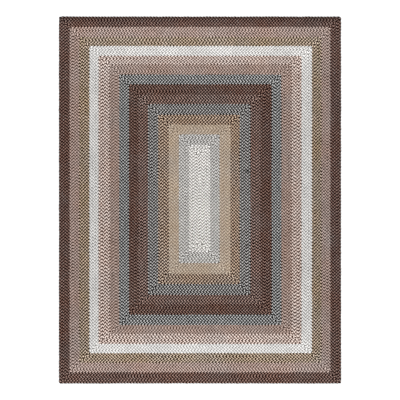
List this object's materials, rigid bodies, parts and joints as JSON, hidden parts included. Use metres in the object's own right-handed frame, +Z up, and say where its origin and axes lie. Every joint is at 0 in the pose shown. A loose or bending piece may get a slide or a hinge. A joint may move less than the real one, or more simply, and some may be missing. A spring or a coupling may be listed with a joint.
{
  "type": "braided rug",
  "caption": "Flat rectangular rug of concentric braided rounds laced edge to edge, in broad bands of natural yarn colours.",
  "frame": {"origin": "middle of the underside, on the floor", "axes": "+Z up out of the rug's face, +Y along its length, +X along its width"},
  "size_m": [2.1336, 2.7776, 0.0095],
  "materials": {
    "dark_brown_border": "matt braided yarn",
    "pinkish_taupe": "matt braided yarn",
    "olive": "matt braided yarn",
    "cream": "matt braided yarn",
    "pale_pink": "matt braided yarn",
    "mauve": "matt braided yarn",
    "blue_grey": "matt braided yarn",
    "dark_brown": "matt braided yarn",
    "mid_brown": "matt braided yarn",
    "grey": "matt braided yarn",
    "tan": "matt braided yarn",
    "beige": "matt braided yarn",
    "light_grey": "matt braided yarn",
    "white_middle": "matt braided yarn"
  },
  "bodies": {
    "root": {"round_01_dark_brown_border": "dark_brown_border", "round_02_dark_brown_border": "dark_brown_border", "round_03_dark_brown_border": "dark_brown_border", "round_04_pinkish_taupe": "pinkish_taupe", "round_05_pinkish_taupe": "pinkish_taupe", "round_06_pinkish_taupe": "pinkish_taupe", "round_07_olive": "olive", "round_08_olive": "olive", "round_09_olive": "olive", "round_10_cream": "cream", "round_11_cream": "cream", "round_12_cream": "cream", "round_13_pale_pink": "pale_pink", "round_14_pale_pink": "pale_pink", "round_15_pale_pink": "pale_pink", "round_16_mauve": "mauve", "round_17_mauve": "mauve", "round_18_mauve": "mauve", "round_19_blue_grey": "blue_grey", "round_20_blue_grey": "blue_grey", "round_21_blue_grey": "blue_grey", "round_22_dark_brown": "dark_brown", "round_23_dark_brown": "dark_brown", "round_24_dark_brown": "dark_brown", "round_25_mid_brown": "mid_brown", "round_26_mid_brown": "mid_brown", "round_27_mid_brown": "mid_brown", "round_28_grey": "grey", "round_29_grey": "grey", "round_30_grey": "grey", "round_31_tan": "tan", "round_32_tan": "tan", "round_33_tan": "tan", "round_34_beige": "beige", "round_35_beige": "beige", "round_36_beige": "beige", "round_37_light_grey": "light_grey", "round_38_light_grey": "light_grey", "round_39_light_grey": "light_grey", "round_40_white_middle": "white_middle", "round_41_white_middle": "white_middle", "round_42_white_middle": "white_middle"}
  },
  "joints": []
}
